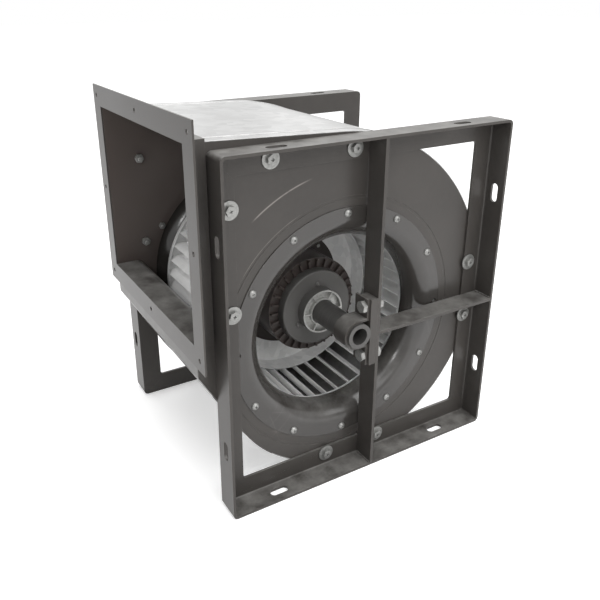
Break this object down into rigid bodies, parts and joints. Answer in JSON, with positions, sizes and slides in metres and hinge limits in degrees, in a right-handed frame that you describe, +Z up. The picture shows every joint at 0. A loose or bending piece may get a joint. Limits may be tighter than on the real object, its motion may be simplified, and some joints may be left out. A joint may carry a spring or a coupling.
{
  "type": "centrifugal fan",
  "caption": "Double-inlet centrifugal fan: scroll casing between square frames, flanged outlet, and an external-rotor motor inside the impeller on a clamped hollow shaft.",
  "frame": {"origin": "centre of the four foot slots, on the plane that the two side frames stand on", "axes": "+X along the side plates, away from the outlet; +Y along the shaft, away from the pictured side; +Z up"},
  "size_m": [0.394, 0.326, 0.4441],
  "materials": {
    "housing_paint": "semi-gloss graphite grey paint",
    "galvanised_sheet": "bright galvanised sheet",
    "zinc_fasteners": "bright zinc plating",
    "shaft_steel": "smooth dark grey coating",
    "bearing_steel": "ground steel",
    "core_steel": "stacked sheet steel",
    "winding_copper": "varnished copper wire",
    "rotor_paint": "dull brown-black paint",
    "cover_paint": "smooth grey paint",
    "cast_aluminium": "as cast, slightly rough"
  },
  "bodies": {
    "casing": {"side_plate_near": "housing_paint", "side_plate_far": "housing_paint", "cutoff_plate": "housing_paint", "outlet_flange": "housing_paint", "inlet_ring_near": "housing_paint", "inlet_ring_far": "housing_paint", "frame_outlet_near": "housing_paint", "frame_outlet_far": "housing_paint", "frame_back_near": "housing_paint", "frame_back_far": "housing_paint", "frame_top_near": "housing_paint", "frame_top_far": "housing_paint", "frame_foot_near": "housing_paint", "frame_foot_far": "housing_paint", "cross_bar_near": "housing_paint", "cross_bar_far": "housing_paint", "stay_bar_near": "housing_paint", "stay_bar_far": "housing_paint", "clamp_base_near": "housing_paint", "clamp_base_far": "housing_paint", "clamp_strap_near": "housing_paint", "clamp_strap_far": "housing_paint", "scroll_wrapper": "galvanised_sheet", "clamp_bolts": "zinc_fasteners", "clamp_nuts": "zinc_fasteners", "frame_washers_near": "zinc_fasteners", "frame_washers_far": "zinc_fasteners", "frame_bolts_near": "zinc_fasteners", "frame_bolts_far": "zinc_fasteners", "frame_nuts": "zinc_fasteners", "ring_screws_near": "zinc_fasteners", "ring_screws_far": "zinc_fasteners", "ring_nuts": "zinc_fasteners", "shaft_tube": "shaft_steel", "bearing_near": "bearing_steel", "bearing_far": "bearing_steel", "retaining_rings": "bearing_steel", "stator_core": "core_steel", "stator_windings": "winding_copper"},
    "rotor": {"rotor_bell": "rotor_paint", "rotor_flange": "rotor_paint", "rotor_core": "core_steel", "rotor_cover": "cover_paint", "bearing_hub": "cast_aluminium", "cover_screws": "zinc_fasteners", "impeller_screws": "zinc_fasteners", "centre_plate": "galvanised_sheet", "centre_band_near": "galvanised_sheet", "centre_band_far": "galvanised_sheet", "blades_near": "galvanised_sheet", "blades_far": "galvanised_sheet", "end_ring_near": "galvanised_sheet", "end_ring_far": "galvanised_sheet"}
  },
  "joints": [
    {"name": "impeller_spin", "type": "hinge", "parent": "casing", "child": "rotor", "pos_m": [-0.02201, 0, 0.18602], "axis": [0, -1, 0], "continuous": true}
  ]
}
